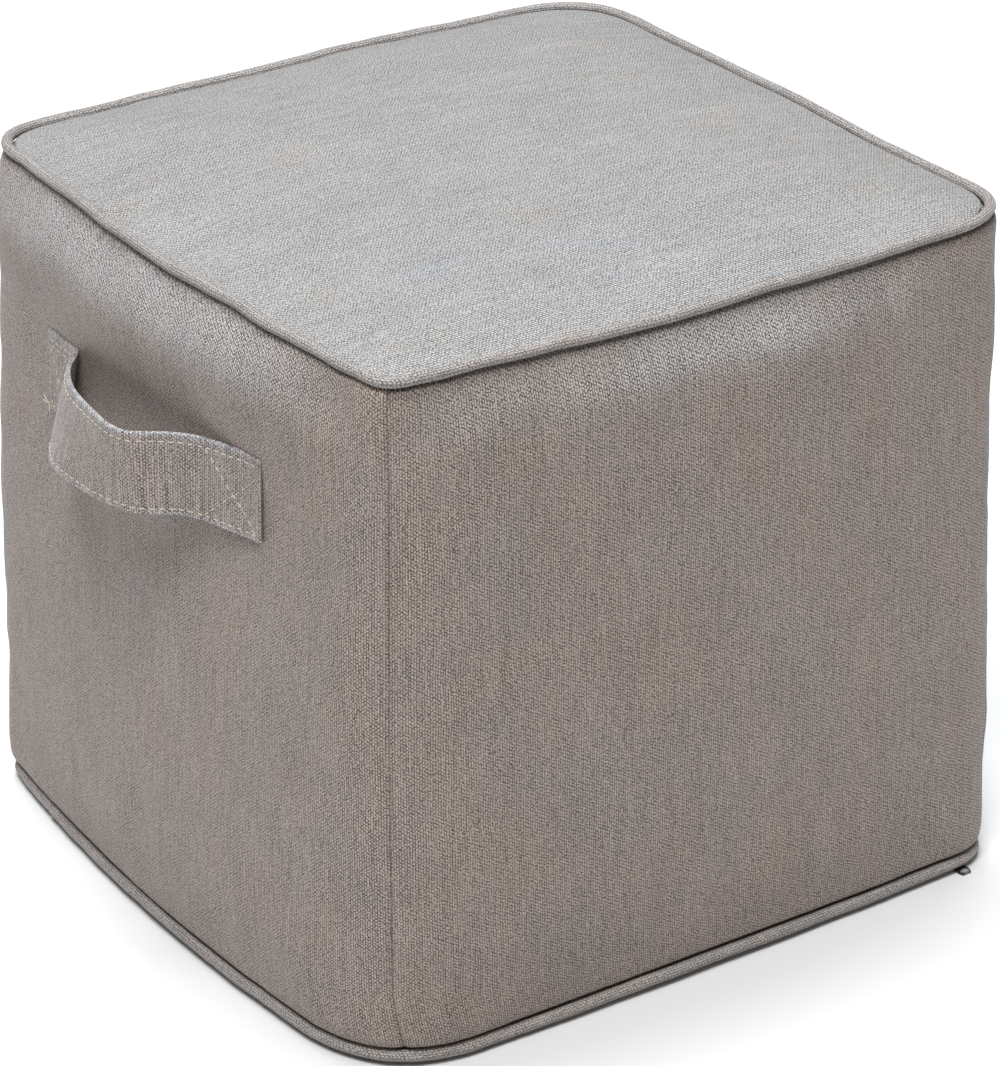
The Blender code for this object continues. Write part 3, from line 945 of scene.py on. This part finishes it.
def make_stitches():
    shape = stitch_shape()
    skin = Skin()
    for (s0, t0), (s1, t1), bold in stitch_lines():
        length = math.hypot(s1 - s0, (t1 - t0) * STRAP_WIDTH)
        count = max(1, int(length / STITCH_PITCH))
        for n in range(count):
            part = (n + 0.5) / count
            station, t = mix(s0, s1, part), mix(t0, t1, part)
            for side in (1, -1):
                middle, out, along, up = strap_frame(station, t)
                jitter = 0.25 * MM * noise.noise(Vector((station / 0.003, t * 9.0, side * 5.0)))
                slope = 0.10 * noise.noise(Vector((station / 0.004, t * 7.0, 9.0 + side)))
                along_line = (along * (s1 - s0) + up * (t1 - t0) * STRAP_WIDTH).normalized()
                sideways = out.cross(along_line).normalized()
                along_line = (along_line + sideways * slope).normalized()
                sideways = (out * side).cross(along_line).normalized()
                lift = STRAP_THICK / 2 + 0.02 * MM
                if t in (UPPER_ROW, LOWER_ROW):
                    lift -= STITCH_GROOVE * 0.6
                place = middle + out * (side * lift) + sideways * jitter
                loops = []
                for ring in shape:
                    bead = [
                        tuple(place + along_line * x + (sideways * y + out * side * z) * bold)
                        for x, y, z in ring
                    ]
                    loops.append(skin.add_points(bead))
                skin.tube(loops)
    add_thread_tails(skin)
    obj = add_piece("strap_stitches", skin.points, skin.faces, skin.uvs)
    face_outward(obj)
    return obj


def make_zip_tab():
    """The zip's puller: a flat tapered tab with a rounded tip, lying on the floor."""
    low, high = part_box("zip_pull")
    centre = (low + high) / 2
    size = high - low
    select_only()
    bpy.ops.mesh.primitive_cube_add(size=1.0, location=centre, scale=size)
    obj = bpy.context.object
    obj.name = "zip_tab"
    obj.data.name = "zip_tab"
    bpy.ops.object.transform_apply(location=True, rotation=True, scale=True)
    bpy.ops.object.mode_set(mode="EDIT")
    bpy.ops.mesh.select_all(action="SELECT")
    bpy.ops.mesh.subdivide(number_cuts=3)
    bpy.ops.object.mode_set(mode="OBJECT")
    for back, narrow in ((0.0, 0.67), (0.25, 0.90), (0.50, 0.85), (0.75, 0.78), (1.0, 0.70)):
        row_y = low.y + back * size.y
        for poly in obj.data.polygons:
            poly.select = False
        for edge in obj.data.edges:
            edge.select = False
        for vert in obj.data.vertices:
            vert.select = abs(vert.co.y - row_y) < 0.05 * size.y
        bpy.ops.object.mode_set(mode="EDIT")
        bpy.ops.transform.resize(value=(narrow, 1.0, 1.0), center_override=(centre.x, row_y, centre.z))
        bpy.ops.object.mode_set(mode="OBJECT")
    apply_modifier(obj, "BEVEL", width=0.35 * MM, segments=3, limit_method="ANGLE")
    obj.data.shade_smooth()
    return obj


# Materials

def add_node(tree, kind, inputs=None, **settings):
    """A node with its settings, its input values, and links from other nodes' outputs."""
    new = tree.nodes.new(kind)
    for key, value in settings.items():
        setattr(new, key, value)
    for key, value in (inputs or {}).items():
        if isinstance(value, bpy.types.NodeSocket):
            tree.links.new(value, new.inputs[key])
        else:
            new.inputs[key].default_value = value
    return new


def maths(tree, operation, a, b=0.0, clamp=False):
    return add_node(tree, "ShaderNodeMath", {0: a, 1: b}, operation=operation, use_clamp=clamp).outputs[0]


def blend_colours(tree, how, factor, a, b):
    new = tree.nodes.new("ShaderNodeMix")
    new.data_type = "RGBA"
    new.blend_type = how
    for socket, value in ((new.inputs[0], factor), (new.inputs[6], a), (new.inputs[7], b)):
        if isinstance(value, bpy.types.NodeSocket):
            tree.links.new(value, socket)
        else:
            socket.default_value = value
    return new.outputs[2]


YARN_MM = 1.45      # from yarn to yarn
TICK_MM = 2.05      # from pick to pick along a yarn
TICK_STEP = 0.42    # how far each yarn's picks are ahead of the last one's


def build_weave():
    """The heathered cloth: uneven yarns of light and dark, warm and cool, in a fine twill."""
    tree = bpy.data.node_groups.new("heathered weave", "ShaderNodeTree")
    face = tree.interface
    for name, kind, value in (
        ("Place", "NodeSocketVector", (0, 0, 0)),
        ("Light Yarn", "NodeSocketColor", (0.45, 0.41, 0.38, 1)),
        ("Dark Yarn", "NodeSocketColor", (0.16, 0.14, 0.13, 1)),
        ("Warm Tint", "NodeSocketColor", (1.05, 1.0, 0.95, 1)),
        ("Cool Tint", "NodeSocketColor", (0.95, 1.0, 1.06, 1)),
        ("Streaks", "NodeSocketFloat", 1.0),
        ("Patches", "NodeSocketFloat", 0.2),
        # The next three inputs say how far a painted highlight and painted shade go into the colour, and the
        # painted highlight's tint.
        ("Fade", "NodeSocketFloat", 0.0),
        ("Painted Seam Shade", "NodeSocketFloat", 0.0),
        ("Painted Highlight Tint", "NodeSocketColor", (1.22, 1.41, 1.58, 1)),
    ):
        face.new_socket(name=name, in_out="INPUT", socket_type=kind).default_value = value
    face.new_socket(name="Colour", in_out="OUTPUT", socket_type="NodeSocketColor")
    face.new_socket(name="Height", in_out="OUTPUT", socket_type="NodeSocketFloat")
    face.new_socket(name="Roughness", in_out="OUTPUT", socket_type="NodeSocketFloat")
    given = tree.nodes.new("NodeGroupInput").outputs
    result = tree.nodes.new("NodeGroupOutput").inputs

    split = add_node(tree, "ShaderNodeSeparateXYZ", {0: given["Place"]})
    across = maths(tree, "MULTIPLY", split.outputs[0], 1000 / YARN_MM)
    along = maths(tree, "MULTIPLY", split.outputs[1], 1000.0)
    yarn_number = maths(tree, "FLOOR", across)
    in_yarn = maths(tree, "SUBTRACT", across, yarn_number)

    def centred_noise(vector, detail):
        cloud = add_node(
            tree,
            "ShaderNodeTexNoise",
            {"Vector": vector, "Scale": 1.0, "Detail": detail, "Roughness": 0.55},
            noise_dimensions="2D",
        )
        return maths(tree, "SUBTRACT", cloud.outputs[0], 0.5)

    def cloud_noise(across_mm, along_mm, seed, detail=1.0):
        """Noise whose marks are so wide across the slubs and so long along them."""
        sized = add_node(
            tree, "ShaderNodeVectorMath", {0: given["Place"], 1: (1000 / across_mm, 1000 / along_mm, 0.0)},
            operation="MULTIPLY",
        )
        moved = add_node(
            tree, "ShaderNodeVectorMath", {0: sized.outputs[0], 1: (seed * 17.3, seed * 9.1, 0.0)},
            operation="ADD",
        )
        return centred_noise(moved.outputs[0], detail)

    def yarn_noise(along_mm, seed, detail=1.0):
        """Noise that changes from yarn to yarn, and slowly along each one."""
        chance = add_node(
            tree, "ShaderNodeTexWhiteNoise", {"W": maths(tree, "ADD", yarn_number, seed * 0.37)},
            noise_dimensions="1D",
        )
        place = add_node(
            tree,
            "ShaderNodeCombineXYZ",
            {
                0: maths(tree, "MULTIPLY", chance.outputs[0], 90.0),
                1: maths(tree, "DIVIDE", along, along_mm),
            },
        )
        return centred_noise(place.outputs[0], detail)

    dash = yarn_noise(2.4, 1)
    slub = yarn_noise(13.0, 2, 2.0)
    hue_yarn = yarn_noise(24.0, 3)
    grain = cloud_noise(1.0, 0.85, 4)
    broad = cloud_noise(1.9, 60.0, 5, 2.0)
    patch = cloud_noise(38.0, 60.0, 6, 2.0)
    hue_streak = cloud_noise(2.2, 30.0, 7, 2.0)
    hue_patch = cloud_noise(45.0, 80.0, 8, 1.0)
    waver = cloud_noise(5.0, 5.0, 9)

    turns = maths(tree, "DIVIDE", along, TICK_MM)
    turns = maths(tree, "ADD", turns, maths(tree, "MULTIPLY", yarn_number, TICK_STEP))
    turns = maths(tree, "ADD", turns, maths(tree, "MULTIPLY", waver, 0.8))
    tick = maths(tree, "SINE", maths(tree, "MULTIPLY", turns, 2 * math.pi))
    rib = maths(tree, "SINE", maths(tree, "MULTIPLY", in_yarn, math.pi))
    rib = maths(tree, "SUBTRACT", rib, 0.64)

    def total(*terms):
        value = None
        for source, weight in terms:
            part = maths(tree, "MULTIPLY", source, weight)
            value = part if value is None else maths(tree, "ADD", value, part)
        return value

    fine = total((dash, 0.65), (grain, 2.7), (tick, 0.36), (rib, 0.80))
    streaky = maths(tree, "MULTIPLY", total((slub, 0.40), (broad, 0.45)), given["Streaks"])
    patchy = maths(tree, "MULTIPLY", patch, given["Patches"])
    tone = maths(tree, "ADD", maths(tree, "ADD", fine, streaky), patchy)
    tone = maths(tree, "ADD", tone, 0.5, clamp=True)
    hue = total((hue_yarn, 0.40), (hue_streak, 0.40), (hue_patch, 0.75))
    hue = maths(tree, "ADD", hue, 0.5, clamp=True)
    yarn = blend_colours(tree, "MIX", tone, given["Dark Yarn"], given["Light Yarn"])
    tint = blend_colours(tree, "MIX", hue, given["Cool Tint"], given["Warm Tint"])
    colour = blend_colours(tree, "MULTIPLY", 1.0, yarn, tint)
    # painted highlight: lighter, cooler colour standing in for light from above
    highlighted_colour = blend_colours(tree, "MULTIPLY", 1.0, colour, given["Painted Highlight Tint"])
    colour = blend_colours(tree, "MIX", given["Fade"], colour, highlighted_colour)
    # painted shade: darker colour near the top seam, standing in for the piping's shadow
    shade = blend_colours(tree, "MIX", given["Painted Seam Shade"], (1, 1, 1, 1), (0.48, 0.46, 0.45, 1))
    colour = blend_colours(tree, "MULTIPLY", 1.0, colour, shade)
    tree.links.new(colour, result["Colour"])
    height = total((dash, 0.3), (grain, 0.6), (tick, 0.28), (rib, 0.5), (slub, 0.1))
    tree.links.new(maths(tree, "ADD", height, 0.5), result["Height"])
    rough = maths(tree, "ADD", maths(tree, "MULTIPLY", dash, -0.3), 0.66, clamp=True)
    tree.links.new(rough, result["Roughness"])
    return tree


WEAVE = build_weave()


def new_finish(name):
    """A new material, with its node tree and its main shader."""
    material = bpy.data.materials.new(name)
    material.use_nodes = True
    tree = material.node_tree
    return material, tree, tree.nodes["Principled BSDF"]


def cloth(name, light, dark, warm, cool, streaks=1.0, patches=0.2, relief=0.25):
    """A cloth finish from the weave, with its own yarns."""
    material, tree, shader = new_finish(name)
    place = add_node(tree, "ShaderNodeUVMap", uv_map="cloth")
    weave = tree.nodes.new("ShaderNodeGroup")
    weave.node_tree = WEAVE
    tree.links.new(place.outputs[0], weave.inputs["Place"])
    # the mesh's painted highlight and painted shade values
    for kept_name, socket in (("fade", "Fade"), ("painted_seam_shade", "Painted Seam Shade")):
        kept = add_node(tree, "ShaderNodeAttribute", attribute_name=kept_name)
        tree.links.new(kept.outputs["Fac"], weave.inputs[socket])
    for key, value in (("Light Yarn", light), ("Dark Yarn", dark), ("Warm Tint", warm), ("Cool Tint", cool)):
        weave.inputs[key].default_value = (*value, 1.0)
    weave.inputs["Streaks"].default_value = streaks
    weave.inputs["Patches"].default_value = patches
    bump = add_node(
        tree, "ShaderNodeBump", {"Height": weave.outputs["Height"], "Strength": 1.0, "Distance": relief * MM}
    )
    tree.links.new(weave.outputs["Colour"], shader.inputs["Base Color"])
    tree.links.new(weave.outputs["Roughness"], shader.inputs["Roughness"])
    tree.links.new(bump.outputs[0], shader.inputs["Normal"])
    shader.inputs["Specular IOR Level"].default_value = 0.6
    shader.inputs["Sheen Weight"].default_value = 0.10
    shader.inputs["Sheen Roughness"].default_value = 0.5
    return material


def thread_finish():
    material, tree, shader = new_finish("cream thread")
    place = tree.nodes.new("ShaderNodeTexCoord")
    twist = add_node(
        tree, "ShaderNodeTexNoise", {"Vector": place.outputs["Object"], "Scale": 1400.0, "Detail": 1.0}
    )
    colour = blend_colours(tree, "MIX", twist.outputs[0], (0.36, 0.32, 0.26, 1), (0.66, 0.61, 0.52, 1))
    tree.links.new(colour, shader.inputs["Base Color"])
    bump = add_node(
        tree, "ShaderNodeBump", {"Height": twist.outputs[0], "Strength": 0.6, "Distance": 0.15 * MM}
    )
    tree.links.new(bump.outputs[0], shader.inputs["Normal"])
    shader.inputs["Roughness"].default_value = 0.7
    return material


def puller_finish():
    """Black lacquer, worn to pale grey in a patch near the tip."""
    low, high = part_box("zip_pull")
    material, tree, shader = new_finish("worn black lacquer")
    place = tree.nodes.new("ShaderNodeTexCoord")
    split = add_node(tree, "ShaderNodeSeparateXYZ", {0: place.outputs["Object"]})
    rub = add_node(
        tree, "ShaderNodeTexNoise", {"Vector": place.outputs["Object"], "Scale": 900.0, "Detail": 2.0}
    )
    size = high - low
    off_x = maths(tree, "SUBTRACT", split.outputs[0], (low.x + high.x) / 2)
    off_x = maths(tree, "DIVIDE", off_x, 0.30 * size.x)
    off_y = maths(tree, "SUBTRACT", split.outputs[1], low.y + 0.16 * size.y)
    off_y = maths(tree, "DIVIDE", off_y, 0.15 * size.y)
    off = maths(tree, "ADD", maths(tree, "MULTIPLY", off_x, off_x), maths(tree, "MULTIPLY", off_y, off_y))
    off = maths(tree, "ADD", off, maths(tree, "MULTIPLY", maths(tree, "SUBTRACT", rub.outputs[0], 0.5), 1.2))
    worn = add_node(tree, "ShaderNodeMapRange", {0: off, 1: 1.7, 2: 0.3, 3: 0.0, 4: 0.8}).outputs[0]
    colour = blend_colours(tree, "MIX", worn, (0.010, 0.010, 0.011, 1), (0.33, 0.33, 0.33, 1))
    tree.links.new(colour, shader.inputs["Base Color"])
    rough = maths(tree, "ADD", maths(tree, "MULTIPLY", worn, 0.2), 0.32)
    tree.links.new(rough, shader.inputs["Roughness"])
    return material


WARM = (1.06, 1.00, 0.94)
COOL = (0.95, 1.00, 1.07)
# One fabric in two copies: the top cloth has cooler, more neutral and slightly lighter yarns than the side
# cloth, a painted cool light from above.
SIDE_CLOTH = cloth("side cloth", (0.348, 0.284, 0.243), (0.036, 0.027, 0.022), WARM, COOL)
TOP_CLOTH_PAINTED_COOL_LIGHT = cloth("top cloth", (0.356, 0.345, 0.335), (0.062, 0.060, 0.057), WARM, COOL)
PIPING_CLOTH = cloth("piping cloth", (0.355, 0.324, 0.302), (0.075, 0.067, 0.062), WARM, COOL, streaks=1.3)
STRAP_CLOTH = cloth("strap cloth", (0.352, 0.297, 0.264), (0.048, 0.038, 0.033), WARM, COOL, streaks=2.0)
THREAD = thread_finish()
LACQUER = puller_finish()


def finish_piece(obj, material, slot, *nodes):
    """Give a piece its finish, its body and the CAD nodes that it stands for."""
    obj.data.materials.clear()
    obj.data.materials.append(material)
    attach(obj, "root")
    if nodes:
        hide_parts(*nodes)
    return obj


# Camera, floor and lights

def aim(obj, place, target):
    obj.location = place
    obj.rotation_euler = (Vector(target) - Vector(place)).to_track_quat("-Z", "Y").to_euler()


CAMERA_LENS_MM = 147.93
CAMERA_PLACE = (-1.2358, -1.8325, 1.3005)
CAMERA_TARGET = (0.0029, -0.0020, 0.1831)


def make_camera():
    data = bpy.data.cameras.new("camera")
    data.lens = CAMERA_LENS_MM
    data.sensor_width = 36.0
    data.clip_end = 50.0
    camera = bpy.data.objects.new("camera", data)
    bpy.context.scene.collection.objects.link(camera)
    aim(camera, CAMERA_PLACE, CAMERA_TARGET)
    bpy.context.scene.camera = camera


def make_area_light(name, place, target, size, power, colour=(1, 1, 1)):
    data = bpy.data.lights.new(name, "AREA")
    data.shape = "DISK"
    data.size = size
    data.energy = power
    data.color = colour
    light = bpy.data.objects.new(name, data)
    bpy.context.scene.collection.objects.link(light)
    aim(light, place, target)


def make_floor():
    bpy.ops.mesh.primitive_circle_add(vertices=96, radius=14.0, fill_type="NGON")
    floor = bpy.context.object
    floor.name = "studio_floor"
    material, _, shader = new_finish("pale floor")
    shader.inputs["Base Color"].default_value = (0.66, 0.66, 0.66, 1)
    shader.inputs["Roughness"].default_value = 0.9
    shader.inputs["Specular IOR Level"].default_value = 0.1
    floor.data.materials.append(material)


def make_studio():
    make_floor()
    world = bpy.data.worlds.new("studio")
    world.use_nodes = True
    tree = world.node_tree
    direction = tree.nodes.new("ShaderNodeTexCoord")
    height = add_node(tree, "ShaderNodeSeparateXYZ", {0: direction.outputs["Generated"]}).outputs[2]
    upward = add_node(tree, "ShaderNodeMapRange", {0: height, 1: 0.0, 2: 0.7, 3: 0.0, 4: 1.0}).outputs[0]
    room = blend_colours(tree, "MIX", upward, (1.0, 0.86, 0.74, 1), (0.95, 1.0, 1.05, 1))
    tree.links.new(room, tree.nodes["Background"].inputs[0])
    tree.nodes["Background"].inputs[1].default_value = 0.31
    bpy.context.scene.world = world
    middle = (0.0, 0.0, 0.2)
    make_area_light("key", (-2.0, -2.15, 5.3), middle, 2.4, 375.0, (1.0, 1.0, 1.0))
    make_area_light("overhead", (0.2, 1.0, 6.4), middle, 2.4, 378.0, (0.95, 1.0, 1.05))
    bpy.context.scene.view_settings.view_transform = "Standard"


select_only()
make_camera()
make_studio()

body = finish_piece(make_filled_body(), SIDE_CLOTH, "side_cloth", "filled_body")

top_panel = make_panel("top_panel_cloth", 1.0, TOP_PIPING_RADIUS + 0.2 * MM, True)
finish_piece(top_panel, TOP_CLOTH_PAINTED_COOL_LIGHT, "top_cloth", "top_panel")

base_panel = make_panel("base_panel_cloth", 0.0, BASE_PIPING_RADIUS + 0.4 * MM, False)
finish_piece(base_panel, SIDE_CLOTH, "side_cloth", "base_panel")

top_piping = make_piping("top_piping_cord", 1.0, TOP_PIPING_RADIUS, TOP_SEAM.height, True)
finish_piece(top_piping, PIPING_CLOTH, "piping_cloth", "top_piping")
base_piping = make_piping("base_piping_cord", 0.0, BASE_PIPING_RADIUS, BASE_SEAM.height, False)
finish_piece(base_piping, PIPING_CLOTH, "piping_cloth", "base_piping")

strap = finish_piece(make_strap(), STRAP_CLOTH, "strap_cloth", "handle_strap")
stitches = finish_piece(make_stitches(), THREAD, "strap_cloth")
zip_tab = finish_piece(make_zip_tab(), LACQUER, "puller", "zip_pull")
